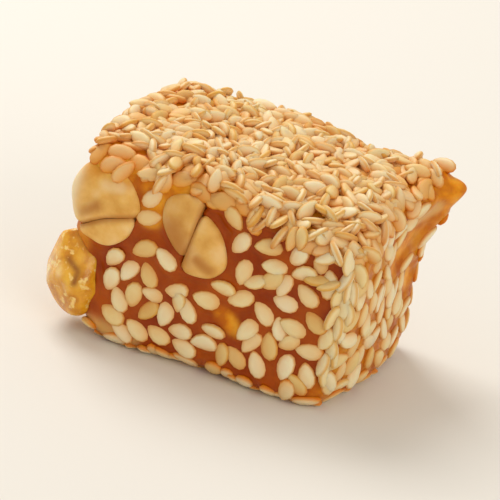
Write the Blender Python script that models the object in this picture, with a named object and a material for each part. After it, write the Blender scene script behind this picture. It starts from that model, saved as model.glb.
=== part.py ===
"""A block of chewy peanut nougat in a coat of sesame seeds, as cut by hand from a slab.

Units are metres and +Z is up. The origin is at the middle of the underside, +X runs along the
block and its front is at -Y. The nougat is one solid with its seeds fused on. Each piece of
peanut that shows at a cut side is a solid of its own, and sits in a pocket in the nougat.
"""

import math

import bmesh
import bpy
import numpy as np
from mathutils import Matrix, Vector

MM = 0.001

# Driving dimensions: the block over its seeds, an ordinary seed, and the fit of a peanut.
BLOCK = np.array((32.5, 23.5, 22.6)) * MM
SEED = np.array((3.0, 1.85, 0.8)) * MM
PEANUT_GAP = 0.3 * MM

# The chewy block: what the coat adds outside it, and its edges.
COAT = np.array((0.95, 0.9, 1.3)) * MM
STAND = 0.36 * MM
EDGE_RADIUS = np.array((2.6, 2.6, 2.2)) * MM
GRID = (9, 6, 5)

# What cutting and sagging did to it. Its top falls to the front right corner, its left end is
# tucked in at the foot, and waves run through its sides. The wave along each axis has the
# directions that it runs in and where it starts.
FALL = 2.2 * MM
TUCK = 3.4 * MM
WAVE = 0.3 * MM
WAVE_LENGTH = 19 * MM
WAVES_RUN = np.array(((0.0, 1.0, 0.6), (0.8, 0.0, 1.0), (1.0, 0.9, 0.0)))
WAVES_START = np.array((1.0, 2.1, -1.2))

# Soft places that were pushed: where each is, how far it went, and how wide it is. The third is
# the lip that the knife drew out at the back right corner.
PUSHED = (
    ((-8.0, -11.5, 1.0), (0.0, -0.6, 0.0), 6.0),
    ((-16.0, -9.5, 9.5), (-1.6, 0.0, 0.0), 5.0),
    ((16.0, 11.5, 20.4), (4.8, 1.6, 0.4), 4.3),
    ((16.0, -11.0, 2.0), (-0.8, 0.6, 0.0), 6.0),
    ((6.0, -11.5, 20.5), (0.0, 1.1, -0.9), 5.0),
    ((14.0, -11.5, 19.5), (0.0, 1.8, -1.0), 6.0),
)

# The coat of seeds, from the largest seed to the smallest. The first lies under the origin, at
# this place across the underside.
UNDER_ORIGIN = (-0.142, -0.028)
COAT_DRAW = 7
SEEDS_IN_COAT = 860
SEEDS_MODELLED = 305
SIZE_SPREAD = 0.1
SUNK = 0.3 * MM
TRIES = 60
MOST_TILTED = 2
FAR_AWAY = 1.0
SEED_SIDES = 6
SEED_TAPER = 0.3

# Where a seed is judged, as shares of its length and width: its middle, its tips and its sides.
JUDGED_AT = np.array(((0.0, 0.0), (0.36, 0.0), (-0.36, 0.0), (0.0, 0.3), (0.0, -0.3)))
SPOTS = len(JUDGED_AT)

# How far apart seeds lie, and how much they roll and pitch in degrees, by which way the place
# they lie on faces.
SPACING = {"up": 1.0, "down": 1.1, "sideways": 1.42}
ROLL = {"up": 26, "down": 4, "sideways": 9}
PITCH = {"up": 12, "down": 3, "sideways": 5}
LEAST_UP, MOST_DOWN = 0.35, -0.7

# Bare streaks in the coat, where the candy shows: both ends of each, and how far it reaches.
BARE = (
    ((18.2, 10.6, 19.8), (17.0, 8.0, 18.4), 2.4),
    ((16.6, 7.0, 17.9), (15.3, 3.6, 16.2), 1.9),
    ((15.4, 4.9, 15.2), (15.1, 2.4, 12.6), 1.9),
    ((15.2, 7.2, 10.1), (15.2, 7.8, 8.9), 1.6),
    ((3.0, -11.5, 7.3), (3.4, -11.5, 7.0), 1.5),
    ((3.2, -11.5, 14.8), (3.0, -11.5, 14.0), 1.3),
    ((9.0, -11.5, 14.8), (11.0, -11.5, 14.2), 1.2),
    ((13.5, -11.5, 11.6), (13.4, -11.5, 10.8), 1.3),
    ((-4.0, -11.5, 9.3), (-4.0, -11.5, 9.3), 1.1),
)


def at(*millimetres):
    """A point or a size that is written in millimetres, as an array in metres."""
    return np.array(millimetres, float) * MM


def cut_and_sagged(points):
    """Bends the true box of nougat to the one that a knife and its own weight left."""
    height = (points[:, 2] - STAND) / (BLOCK[2] - STAND)
    right, front = 0.5 + points[:, 0] / BLOCK[0], 0.5 - points[:, 1] / BLOCK[1]
    moved = WAVE * np.sin(points @ WAVES_RUN.T * math.tau / WAVE_LENGTH + WAVES_START)
    moved[:, 0] += TUCK * (1 - right) * (1 - height) ** 2
    moved[:, 2] = height * (moved[:, 2] - FALL * right * front)
    for place, shift, reach in PUSHED:
        away = np.linalg.norm(points - at(*place), axis=1, keepdims=True) / (reach * MM)
        moved += at(*shift) * np.exp(-(away**2))
    return points + moved


# The candy before it is rounded, cut and sagged: its lowest and highest corner, middle and half size.
LOW = np.array((-BLOCK[0] / 2 + COAT[0], -BLOCK[1] / 2 + COAT[1], STAND))
HIGH = np.array((BLOCK[0] / 2 - COAT[0], BLOCK[1] / 2 - COAT[1], BLOCK[2] - COAT[2]))
MIDDLE, HALF = (LOW + HIGH) / 2, (HIGH - LOW) / 2


def nougat_surface(cube):
    """Points of a cube of side 2, carried to the surface of the nougat.

    The cube is stretched to the block, what lies beyond the inner box is drawn back to the edge
    radius, which rounds the edges and corners, and the result is cut and sagged.
    """
    flat = cube * HALF
    inner = HALF - EDGE_RADIUS
    nearest = np.clip(flat, -inner, inner)
    outward = (flat - nearest) / EDGE_RADIUS
    reach = np.linalg.norm(outward, axis=1, keepdims=True)
    rounded = nearest + outward / reach * EDGE_RADIUS
    return cut_and_sagged(MIDDLE + rounded)


# A side of the block: the axis of its normal and which way that points.
SIDES = ((2, 1), (2, -1), (1, -1), (1, 1), (0, 1), (0, -1))
BOTTOM = 1
STEP_ACROSS = 0.01


def on_side(side, across):
    """Cube points for places across one side, each place two numbers from -1 to 1."""
    axis, way = SIDES[side]
    cube = np.empty((len(across), 3))
    cube[:, axis] = way
    cube[:, (axis + 1) % 3] = across[:, 0]
    cube[:, (axis + 2) % 3] = across[:, 1]
    return cube


def side_frame(side, across):
    """Point, a direction along the side, and outward normal, for each place across it."""
    here = nougat_surface(on_side(side, across))
    along = nougat_surface(on_side(side, across + (STEP_ACROSS, 0))) - here
    beside = nougat_surface(on_side(side, across + (0, STEP_ACROSS))) - here
    normal = np.cross(along, beside) * SIDES[side][1]
    along /= np.linalg.norm(along, axis=1, keepdims=True)
    normal /= np.linalg.norm(normal, axis=1, keepdims=True)
    return here, along, normal


# How the peanuts are made: the gap of a split, how far two pockets of it run into each other,
# how far past its end a half goes on leaning, and its facets.
SPLIT_GAP = 0.36 * MM
POCKET_OVERLAP = 0.05 * MM
MOST_LEAN = 1.2
KERNEL_SIDES = 16
KERNEL_RINGS = 10
SHARP_ANGLE = math.radians(40)


class Kernel:
    """A piece of peanut: an egg with its own half sizes, pressed flatter on its outer side.

    Its local X and Y lie across the face that shows and its local Z points out of the block.
    A split kernel is parted along local Y, this far from its middle. Each half then slid along
    the split by the slip, and by the lean it narrows towards its own end of the split. A whole
    one narrows towards local +Y.
    """

    def __init__(self, place, out, turn, half, dome, split=0.0, slip=0.0, lean=0.0):
        self.place = at(*place)
        self.half = at(*half)
        self.dome = dome * MM
        self.split = split * MM
        self.slip = slip * MM
        self.lean = lean
        z = Vector(out).normalized()
        x = Vector((0, 0, 1)).cross(z).normalized()
        frame = Matrix((x, z.cross(x), z)).transposed()
        self.turned = frame @ Matrix.Rotation(math.radians(turn), 3, "Z")
        self.axes = np.array(self.turned)

    def leaning(self, y, side):
        """How wide the half on one side of the split is, as a share, at distances along it."""
        return 1 - side * self.lean * np.clip(y / self.half[1], -MOST_LEAN, MOST_LEAN)

    def holds(self, points, margin):
        """Which points lie inside the kernel once it is grown by a margin."""
        local = (points - self.place) @ self.axes
        side = np.where((local[:, 0] > self.split) | (self.split == 0), 1, -1)
        local[:, 1] -= side * self.slip
        local[:, 0] = self.split + (local[:, 0] - self.split) / self.leaning(local[:, 1], side)
        sizes = np.tile(self.half, (len(local), 1))
        sizes[local[:, 2] > 0, 2] = self.dome
        return ((local / (sizes + margin)) ** 2).sum(axis=1) < 1


# The peanuts that show, each with the place on the block, the way that it faces, its turn about
# that way in degrees, its half sizes, how far its face stands out, and its split, slip and lean.
CORNER = Kernel((-12.4, -10.8, 15.0), (-0.12, -1, 0.05), -64, (4.5, 4.1, 4.4), 1.2, 2.0, -0.2)
FRONT = Kernel((-2.1, -10.8, 14.8), (0.0, -1, 0.05), -10, (4.1, 3.4, 4.4), 1.2, -0.1, -0.7, 0.3)
CHUNK = Kernel((-15.2, -9.2, 6.2), (-1, -0.6, 0.0), 8, (3.9, 4.9, 3.2), 3.3, lean=0.25)
BACK = Kernel((2.5, 11.2, 9.8), (0.0, 1, 0.0), 20, (8.4, 4.4, 3.4), 1.5)
KERNELS = (CORNER, FRONT, CHUNK, BACK)


def clear_of_inclusions(points):
    """Which points of seeds lie clear of every peanut and bare streak."""
    free = np.ones(len(points), bool)
    for kernel in KERNELS:
        free &= ~kernel.holds(points, PEANUT_GAP + SEED[1] / 2)
    for start, end, reach in BARE:
        streak = at(*end) - at(*start)
        along = np.clip((points - at(*start)) @ streak / max(streak @ streak, MM**2), 0, 1)
        free &= np.linalg.norm(points - at(*start) - along[:, None] * streak, axis=1) > reach * MM
    return free


def by_facing(table, normal):
    """The value of a table for each place, by the way that its normal points."""
    up, down = normal[:, 2] > LEAST_UP, normal[:, 2] < MOST_DOWN
    return np.select([up, down], [table["up"], table["down"]], table["sideways"])


def turned_about(axis, vector, angle):
    """A vector turned about a unit axis by an angle in radians."""
    return (
        vector * math.cos(angle)
        + np.cross(axis, vector) * math.sin(angle)
        + axis * (axis @ vector) * (1 - math.cos(angle))
    )


def seed_coat(count):
    """The first seeds of the coat, each as its middle, its three axes and its three sizes.

    Every seed takes the emptiest of many tried places, so that a part of the coat is spread as
    evenly as the whole. A seed is judged by its middle and by points towards its tips and sides.
    """
    draw = np.random.default_rng(COAT_DRAW)
    taken = np.full((count * SPOTS, 3), FAR_AWAY)
    coat = []
    for i in range(count):
        size = SEED * (1 + SIZE_SPREAD * (1 - 2 * i / SEEDS_IN_COAT))
        best = (-1.0, None)
        for side in range(len(SIDES)):
            across = draw.uniform(-1, 1, (TRIES // len(SIDES), 2))
            angles = draw.uniform(0, math.pi, len(across))
            if i == 0:
                across[:] = UNDER_ORIGIN
            here, along, normal = side_frame(side, across)
            beside = np.cross(normal, along)
            long = along * np.cos(angles)[:, None] + beside * np.sin(angles)[:, None]
            reach = np.stack((long * size[0], np.cross(normal, long) * size[1]), axis=1)
            spots = here[:, None] + JUDGED_AT @ reach
            free = clear_of_inclusions(spots.reshape(-1, 3)).reshape(-1, SPOTS).all(axis=1)
            gaps = np.linalg.norm(spots.reshape(-1, 1, 3) - taken[: max(SPOTS * i, 1)], axis=2)
            score = gaps.min(axis=1).reshape(-1, SPOTS).min(axis=1) / by_facing(SPACING, normal)
            score[~free] = -1
            pick = int(score.argmax())
            if score[pick] > best[0] and (i > 0 or side == BOTTOM):
                best = (score[pick], (here[pick], long[pick], normal[pick], spots[pick]))
        here, long, normal, spots = best[1]
        taken[SPOTS * i : SPOTS * (i + 1)] = spots
        most_roll, most_pitch = (float(by_facing(table, normal[None])[0]) for table in (ROLL, PITCH))
        roll, pitch = np.clip(draw.normal(0, 1, 2), -MOST_TILTED, MOST_TILTED)
        wide = turned_about(long, np.cross(normal, long), math.radians(most_roll * roll))
        thick = np.cross(long, wide)
        tip = math.radians(most_pitch * pitch)
        long, thick = turned_about(wide, long, tip), turned_about(wide, thick, tip)
        axes = np.stack((long, wide, thick))
        support = np.linalg.norm(axes @ normal * size / 2)
        coat.append((here + normal * (support - SUNK), axes, size))
    return coat


def material(name, colour, roughness):
    """A food surface of one plain colour."""
    made = bpy.data.materials.new(name)
    made.use_nodes = True
    shader = made.node_tree.nodes["Principled BSDF"]
    shader.inputs["Base Color"].default_value = (*colour, 1)
    shader.inputs["Roughness"].default_value = roughness
    shader.inputs["Metallic"].default_value = 0
    return made


def add_object(name, bm, collection, look):
    """Makes a mesh object of a bmesh, with one material, in a collection."""
    mesh = bpy.data.meshes.new(name)
    bm.to_mesh(mesh)
    bm.free()
    mesh.materials.append(look)
    obj = bpy.data.objects.new(name, mesh)
    collection.objects.link(obj)
    return obj


def new_collection(name):
    made = bpy.data.collections.new(name)
    bpy.context.scene.collection.children.link(made)
    return made


def add_nougat(collection, look):
    """The chewy block: a cube with a grid of points, carried to the nougat's surface.

    The outermost grid lines of each side are moved to where the rounding of its edges starts.
    """
    last_line, rounding = 1 - 2 / np.array(GRID), 1 - EDGE_RADIUS / HALF
    bm = bmesh.new()
    bmesh.ops.create_cube(bm, size=2)
    for axis, cuts in enumerate(GRID):
        edges = [e for e in bm.edges if abs((e.verts[0].co - e.verts[1].co).normalized()[axis]) > 0.9]
        bmesh.ops.subdivide_edges(bm, edges=edges, cuts=cuts - 1, use_grid_fill=True)
    cube = np.array([vert.co for vert in bm.verts])
    cube = np.where(np.abs(cube) > (1 + last_line) / 2, cube, cube * rounding / last_line)
    for vert, place in zip(bm.verts, nougat_surface(cube)):
        vert.co = place
    return add_object("nougat_block", bm, collection, look)


def add_seed(number, middle, axes, size, collection, look):
    """One sesame seed: a flat ball drawn out to a drop."""
    bm = bmesh.new()
    bmesh.ops.create_uvsphere(bm, u_segments=SEED_SIDES, v_segments=2, radius=0.5)
    for vert in bm.verts:
        length, across, thick = vert.co
        narrowing = 1 - SEED_TAPER * 2 * length
        vert.co = middle + np.array((length, across * narrowing, thick)) * size @ axes
    return add_object(f"seed_{number:03d}", bm, collection, look)


def kernel_bmesh(kernel, margin, half_side=0, wall_gap=0.0):
    """A kernel in its own axes, grown by a margin, or one of its halves with its slip and lean.

    The flat face of a half stands off from the split by the wall gap.
    """
    bm = bmesh.new()
    bmesh.ops.create_uvsphere(bm, u_segments=KERNEL_SIDES, v_segments=KERNEL_RINGS, radius=1)
    half = kernel.half + margin
    wall = kernel.split + half_side * wall_gap
    for vert in bm.verts:
        outer = kernel.dome + margin if vert.co.z > 0 else half[2]
        vert.co = Vector((vert.co.x * half[0], vert.co.y * half[1], vert.co.z * outer))
    if half_side:
        bmesh.ops.bisect_plane(
            bm,
            geom=bm.verts[:] + bm.edges[:] + bm.faces[:],
            plane_co=(wall, 0, 0),
            plane_no=(half_side, 0, 0),
            clear_inner=True,
        )
        bmesh.ops.holes_fill(bm, edges=[e for e in bm.edges if e.is_boundary])
    side = half_side or 1
    for vert in bm.verts:
        vert.co.x = wall + (vert.co.x - wall) * kernel.leaning(vert.co.y, side)
        vert.co.y += side * kernel.slip
    return bm


def place_kernel(obj, kernel):
    obj.matrix_world = Matrix.Translation(kernel.place) @ kernel.turned.to_4x4()


def add_peanut(name, kernel, collection, look, half_side=0):
    """A peanut, or one of the two halves that lie each side of the split along its local Y."""
    obj = add_object(name, kernel_bmesh(kernel, 0, half_side, SPLIT_GAP / 2), collection, look)
    place_kernel(obj, kernel)
    return obj


def apply_modifiers(obj):
    """Keeps the evaluated mesh of an object as its own mesh."""
    graph = bpy.context.evaluated_depsgraph_get()
    mesh = bpy.data.meshes.new_from_object(obj.evaluated_get(graph))
    obj.modifiers.clear()
    obj.data = mesh


def keep_largest_shell(obj):
    """Drops loose scraps and the walls of sealed hollows, which fills those hollows."""
    bm = bmesh.new()
    bm.from_mesh(obj.data)
    unseen = set(bm.verts)
    shells = []
    while unseen:
        shell, edge_of_search = set(), [unseen.pop()]
        while edge_of_search:
            vert = edge_of_search.pop()
            shell.add(vert)
            near = {edge.other_vert(vert) for edge in vert.link_edges} & unseen
            unseen -= near
            edge_of_search.extend(near)
        shells.append(shell)
    shells.sort(key=len)
    bmesh.ops.delete(bm, geom=[vert for shell in shells[:-1] for vert in shell], context="VERTS")
    bm.to_mesh(obj.data)
    bm.free()


def fuse_coat(block, seeds):
    """Joins every seed of a collection to the block by one Boolean union."""
    join = block.modifiers.new("coat", "BOOLEAN")
    join.operation = "UNION"
    join.operand_type = "COLLECTION"
    join.collection = seeds
    bpy.context.view_layer.update()
    apply_modifiers(block)
    for seed in list(seeds.objects):
        bpy.data.objects.remove(seed)
    bpy.data.collections.remove(seeds)


def cut_with(block, operation, cutter, solver):
    cut = block.modifiers.new(cutter.name, "BOOLEAN")
    cut.operation = operation
    cut.object = cutter
    cut.solver = solver
    cutter.hide_render = True
    cutter.display_type = "WIRE"


def press_underside_flat(block, cutters, look):
    """Keeps what is above the board, which leaves a flat on every seed that the block rests on."""
    bm = bmesh.new()
    bmesh.ops.create_cube(bm, size=1)
    bmesh.ops.scale(bm, vec=Vector(BLOCK * 2), verts=bm.verts)
    cutter = add_object("space_over_board", bm, cutters, look)
    cutter.location.z = BLOCK[2]
    cut_with(block, "INTERSECT", cutter, "EXACT")
    bpy.context.view_layer.update()
    apply_modifiers(block)
    bpy.data.objects.remove(cutter)
    keep_largest_shell(block)


def cut_pockets(block, cutters, look):
    """Cuts the pocket that each peanut sits in, with the gap all round it.

    The halves of a split kernel have a pocket each, and the two run into one another. The exact
    solver leaves only scraps of the block here, so the manifold one makes these cuts.
    """
    pockets = [(kernel, side) for kernel in KERNELS for side in ((-1, 1) if kernel.split else (0,))]
    for number, (kernel, side) in enumerate(pockets):
        bm = kernel_bmesh(kernel, PEANUT_GAP, side, -POCKET_OVERLAP)
        cutter = add_object(f"pocket_{number}", bm, cutters, look)
        place_kernel(cutter, kernel)
        cut_with(block, "DIFFERENCE", cutter, "MANIFOLD")


def shade(obj):
    obj.data.shade_smooth()
    obj.data.set_sharp_from_angle(angle=SHARP_ANGLE)


def main():
    for obj in list(bpy.data.objects):
        bpy.data.objects.remove(obj)
    nougat = new_collection("nougat")
    cutters = new_collection("cutters")
    seeds = new_collection("seeds")
    candy = material("candy_and_seeds", (0.72, 0.52, 0.29), 0.5)
    roasted = material("roasted_peanut", (0.68, 0.41, 0.16), 0.45)
    glazed = material("glazed_peanut", (0.76, 0.50, 0.20), 0.25)

    block = add_nougat(nougat, candy)
    for number, (middle, axes, size) in enumerate(seed_coat(SEEDS_MODELLED)):
        add_seed(number, middle, axes, size, seeds, candy)
    fuse_coat(block, seeds)
    press_underside_flat(block, cutters, candy)
    cut_pockets(block, cutters, candy)

    peanuts = [
        add_peanut("corner_peanut_upper_half", CORNER, nougat, roasted, half_side=-1),
        add_peanut("corner_peanut_lower_half", CORNER, nougat, roasted, half_side=1),
        add_peanut("front_peanut_left_half", FRONT, nougat, roasted, half_side=-1),
        add_peanut("front_peanut_right_half", FRONT, nougat, roasted, half_side=1),
        add_peanut("side_peanut_chunk", CHUNK, nougat, glazed),
        add_peanut("back_peanut_half", BACK, nougat, roasted),
    ]
    for peanut in peanuts:
        shade(peanut)


main()
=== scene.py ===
import math

import bmesh
import bpy
import numpy as np
from mathutils import Matrix, Vector


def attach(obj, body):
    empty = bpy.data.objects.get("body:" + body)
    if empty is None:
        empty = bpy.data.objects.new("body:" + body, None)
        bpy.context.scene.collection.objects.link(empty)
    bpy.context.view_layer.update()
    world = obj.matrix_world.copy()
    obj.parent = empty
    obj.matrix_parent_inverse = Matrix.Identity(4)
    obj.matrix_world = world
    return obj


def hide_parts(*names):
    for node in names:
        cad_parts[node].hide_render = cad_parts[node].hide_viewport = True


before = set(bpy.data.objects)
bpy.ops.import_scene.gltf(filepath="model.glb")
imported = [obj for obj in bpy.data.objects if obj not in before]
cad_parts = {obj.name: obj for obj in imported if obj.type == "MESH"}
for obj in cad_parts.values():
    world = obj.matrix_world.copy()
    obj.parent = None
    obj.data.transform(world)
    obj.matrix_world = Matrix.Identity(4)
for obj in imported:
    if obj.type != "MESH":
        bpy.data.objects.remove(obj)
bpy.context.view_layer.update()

# The candy. Sugar, honey and malt syrup are boiled to a chewy mass and stirred with roasted
# peanuts. The warm slab is rolled, cut by hand, and each block sags a little: its top falls to
# the front right, its left foot is tucked in, and the knife drew out a lip at the back right.

MM = 0.001
# The block over its seeds, how far these stand off the candy along each axis, how high the candy
# is over the board, and the radius of its edges.
BLOCK = np.array((32.5, 23.5, 22.6)) * MM
COAT = np.array((0.95, 0.9, 1.3)) * MM
STAND = 0.36 * MM
EDGE_RADIUS = np.array((2.6, 2.6, 2.2)) * MM
# How far the top falls at the front right, how far the left foot is tucked in, and the waves.
FALL = 2.2 * MM
TUCK = 3.4 * MM
WAVE = 0.3 * MM
WAVE_LENGTH = 19 * MM
WAVES_RUN = np.array(((0.0, 1.0, 0.6), (0.8, 0.0, 1.0), (1.0, 0.9, 0.0)))
WAVES_START = np.array((1.0, 2.1, -1.2))
# Where hand and knife pushed the candy, in millimetres: the place, the shift and its reach.
PUSHED = (
    ((-8.0, -11.5, 1.0), (0.0, -0.6, 0.0), 6.0),
    ((-16.0, -9.5, 9.5), (-1.6, 0.0, 0.0), 5.0),
    ((16.0, 11.5, 20.4), (4.8, 1.6, 0.4), 4.3),
    ((16.0, -11.0, 2.0), (-0.8, 0.6, 0.0), 6.0),
    ((6.0, -11.5, 20.5), (0.0, 1.1, -0.9), 5.0),
    ((14.0, -11.5, 19.5), (0.0, 1.8, -1.0), 6.0),
)
# The side of a cell of the candy's mesh, and how close points of a mesh are one point.
CELL = 0.34 * MM
SAME_PLACE = 0.001 * MM
# Streaks where the candy is thin and shows amber, and two where it was smeared and is cloudy:
# both ends of each, and how far it reaches, in millimetres.
THIN = (
    ((-15.6, -10.6, 19.2), (-5.0, -10.8, 19.4), 1.7),
    ((-6.8, -11.2, 17.6), (-6.9, -11.4, 15.4), 1.3),
    ((18.2, 10.4, 20.2), (17.1, 8.0, 18.4), 2.0),
    ((15.4, 4.8, 15.2), (15.1, 2.4, 12.5), 1.3),
    ((15.2, 7.2, 10.1), (15.2, 7.8, 8.8), 1.2),
    ((2.6, -11.5, 7.7), (4.2, -11.5, 6.6), 1.0),
    ((-16.4, -10.4, 10.6), (-14.8, -11.2, 10.2), 1.6),
)
SMEARED = (
    ((16.9, 7.6, 18.1), (15.9, 5.2, 17.0), 0.9),
    ((-13.0, -11.6, 1.6), (-7.0, -11.6, 1.2), 1.3),
)
# The film of candy on top and at the right is thin too, and these faces are also painted
# lighter amber as lit faces: how thin and lit at the most, and at which share of the normal
# that starts and over which it grows.
THIN_AND_LIT_UP = (0.9, 0.3, 0.5)
THIN_AND_LIT_RIGHT = (0.6, 0.4, 0.4)


def at(*millimetres):
    """A point or a size that is written in millimetres, as an array in metres."""
    return np.array(millimetres, float) * MM


def from_streak(points, start, end):
    """How far points are from the line between two ends that are written in millimetres."""
    start, streak = at(*start), at(*end) - at(*start)
    along = np.clip((points - start) @ streak / max(streak @ streak, MM**2), 0, 1)
    return np.linalg.norm(points - start - along[:, None] * streak, axis=1)


def in_streaks(points, streaks, power=4):
    """How much points lie in any streak: the most of exp(-(distance / reach) to a power)."""
    field = np.zeros(len(points))
    for start, end, reach in streaks:
        away = from_streak(points, start, end) / (reach * MM)
        field = np.maximum(field, np.exp(-(away**power)))
    return field


def thin_and_lit_facing(facing, most, start, span):
    """How far the film thins and how lit its face is painted: the most, from where the normal's
    share passes the start.
    """
    return most * np.clip((facing - start) / span, 0, 1)


def cut_and_sagged(points):
    """The true box, bent: a wedge and a tuck that grow along X, sine waves, and soft bumps.

    A bump moves a point by its shift times exp(-(distance / reach) squared).
    """
    height = (points[:, 2] - STAND) / (BLOCK[2] - STAND)
    right, front = 0.5 + points[:, 0] / BLOCK[0], 0.5 - points[:, 1] / BLOCK[1]
    moved = WAVE * np.sin(points @ WAVES_RUN.T * math.tau / WAVE_LENGTH + WAVES_START)
    moved[:, 0] += TUCK * (1 - right) * (1 - height) ** 2
    moved[:, 2] = height * (moved[:, 2] - FALL * right * front)
    for place, shift, reach in PUSHED:
        away = np.linalg.norm(points - at(*place), axis=1, keepdims=True) / (reach * MM)
        moved += at(*shift) * np.exp(-(away**2))
    return points + moved


def nougat_surface(cube):
    """Points of a cube of side 2, carried to the surface of the candy.

    The cube is stretched to the block; what lies beyond the inner box is drawn back to the edge
    radius: p = nearest + R * (flat - nearest) / |flat - nearest|. The result is cut and sagged.
    """
    low = np.array((-BLOCK[0] / 2 + COAT[0], -BLOCK[1] / 2 + COAT[1], STAND))
    high = np.array((BLOCK[0] / 2 - COAT[0], BLOCK[1] / 2 - COAT[1], BLOCK[2] - COAT[2]))
    middle, half = (low + high) / 2, (high - low) / 2
    flat = cube * half
    inner = half - EDGE_RADIUS
    nearest = np.clip(flat, -inner, inner)
    outward = (flat - nearest) / EDGE_RADIUS
    reach = np.linalg.norm(outward, axis=1, keepdims=True)
    rounded = nearest + outward / reach * EDGE_RADIUS
    return cut_and_sagged(middle + rounded)


# A side of the block: the axis of its normal and which way that points.
SIDES = ((2, 1), (2, -1), (1, -1), (1, 1), (0, 1), (0, -1))
TOP, BOTTOM, FRONT_SIDE = 0, 1, 2


def on_side(side, across):
    """Cube points for places across one side, each place two numbers from -1 to 1."""
    axis, way = SIDES[side]
    cube = np.empty((len(across), 3))
    cube[:, axis] = way
    cube[:, (axis + 1) % 3] = across[:, 0]
    cube[:, (axis + 2) % 3] = across[:, 1]
    return cube


def grid_faces(rows, columns, closed):
    """Quads between the rows of points; when closed, the last column joins the first."""
    row, column = np.meshgrid(np.arange(rows - 1), np.arange(columns - (not closed)), indexing="ij")
    here = (row * columns + column).ravel()
    beside = (row * columns + (column + 1) % columns).ravel()
    return np.stack((here, here + columns, beside + columns, beside), axis=1)


def candy_grid():
    """Six grids, one for each side of a cube, carried to the surface of the candy."""
    counts = (BLOCK / CELL).astype(int)
    grids, faces, start = [], [], 0
    for side, (axis, way) in enumerate(SIDES):
        rows, columns = counts[(axis + 1) % 3], counts[(axis + 2) % 3]
        a, b = np.meshgrid(np.linspace(-1, 1, rows), np.linspace(-1, 1, columns), indexing="ij")
        grids.append(on_side(side, np.stack((a.ravel(), b.ravel()), axis=1)))
        quads = grid_faces(rows, columns, closed=False) + start
        faces.append(quads if way > 0 else quads[:, ::-1])
        start += rows * columns
    return nougat_surface(np.concatenate(grids)), np.concatenate(faces)


def weld(mesh):
    """Joins the points that meet at a seam or a pole, and turns all faces outward."""
    bm = bmesh.new()
    bm.from_mesh(mesh)
    bmesh.ops.remove_doubles(bm, verts=bm.verts, dist=SAME_PLACE)
    bmesh.ops.recalc_face_normals(bm, faces=bm.faces)
    bm.to_mesh(mesh)
    bm.free()


def add_piece(name, points, faces, look, has_seams):
    """A smooth mesh piece from whole arrays that rides on the block."""
    mesh = bpy.data.meshes.new(name)
    mesh.from_pydata(points.tolist(), [], faces)
    if has_seams:
        weld(mesh)
    mesh.shade_smooth()
    mesh.materials.append(look)
    piece = bpy.data.objects.new(name, mesh)
    bpy.context.scene.collection.objects.link(piece)
    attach(piece, "root")
    return piece


def vectors_of(items, field):
    """A vector field of all points of a mesh as one array."""
    values = np.empty(len(items) * 3)
    items.foreach_get(field, values)
    return values.reshape(-1, 3)


def add_attribute(piece, name, values):
    """Stores one number for each point of a piece, for its material to read."""
    layer = piece.data.attributes.new(name, "FLOAT", "POINT")
    layer.data.foreach_set("value", np.asarray(values, np.float32).ravel())


def linear(colour):
    """An sRGB hex colour as linear RGBA: ((c + 0.055) / 1.055) to the power 2.4 above 0.04."""
    parts = [int(colour[i : i + 2], 16) / 255 for i in (1, 3, 5)]
    return (*[p / 12.92 if p <= 0.04045 else ((p + 0.055) / 1.055) ** 2.4 for p in parts], 1)


def add_node(material, kind, fields, sockets):
    """Adds a shader node with its fields, and sets or links its sockets by name or number."""
    node = material.node_tree.nodes.new(kind)
    for name, value in fields.items():
        setattr(node, name, value)
    for key, value in sockets.items():
        if isinstance(value, bpy.types.NodeSocket):
            material.node_tree.links.new(value, node.inputs[key])
        else:
            node.inputs[key].default_value = value
    return node


def add_ramp(material, factor, stops):
    """A colour ramp through stops, each a position from 0 to 1 and an sRGB hex colour."""
    node = add_node(material, "ShaderNodeValToRGB", {}, {0: factor})
    elements = node.color_ramp.elements
    for element, (position, colour) in zip((elements[0], elements[-1]), (stops[0], stops[-1])):
        element.position, element.color = position, linear(colour)
    for position, colour in stops[1:-1]:
        elements.new(position).color = linear(colour)
    return node.outputs[0]


def mixed(material, factor, below, above, blend="MIX"):
    """Colour below, mixed with the colour above by a factor.

    The colours are sockets 6 and 7 of the node, and the mixed colour is its output 2.
    """
    fields = {"data_type": "RGBA", "blend_type": blend}
    return add_node(material, "ShaderNodeMix", fields, {0: factor, 6: below, 7: above}).outputs[2]


def attribute(material, name):
    """A number that the piece stores for each of its points."""
    return add_node(material, "ShaderNodeAttribute", {"attribute_name": name}, {}).outputs["Fac"]


def noise(material, scale, detail):
    """Noise over the piece's own coordinates; the scale is in turns a metre."""
    place = add_node(material, "ShaderNodeTexCoord", {}, {}).outputs["Object"]
    sockets = {"Vector": place, "Scale": scale, "Detail": detail}
    return add_node(material, "ShaderNodeTexNoise", {}, sockets).outputs["Fac"]


def new_material(name, colour, roughness, ior, specular, subsurface, radius, scale, grain):
    """A Principled material; its colour is made by a function of the material.

    Light spreads under the surface by a radius for red, green and blue, times the scale. The
    grain of the relief is its turns a metre, its detail and its height.
    """
    made = bpy.data.materials.new(name)
    made.use_nodes = True
    shader = made.node_tree.nodes["Principled BSDF"]
    made.node_tree.links.new(colour(made), shader.inputs["Base Color"])
    turns, detail, height = grain
    sockets = {"Distance": height, "Strength": 1.0, "Height": noise(made, turns, detail)}
    relief = add_node(made, "ShaderNodeBump", {}, sockets)
    made.node_tree.links.new(relief.outputs[0], shader.inputs["Normal"])
    shader.inputs["Roughness"].default_value = roughness
    shader.inputs["IOR"].default_value = ior
    shader.inputs["Specular IOR Level"].default_value = specular
    shader.inputs["Subsurface Weight"].default_value = subsurface
    shader.inputs["Subsurface Radius"].default_value = radius
    shader.inputs["Subsurface Scale"].default_value = scale
    return made


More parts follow.
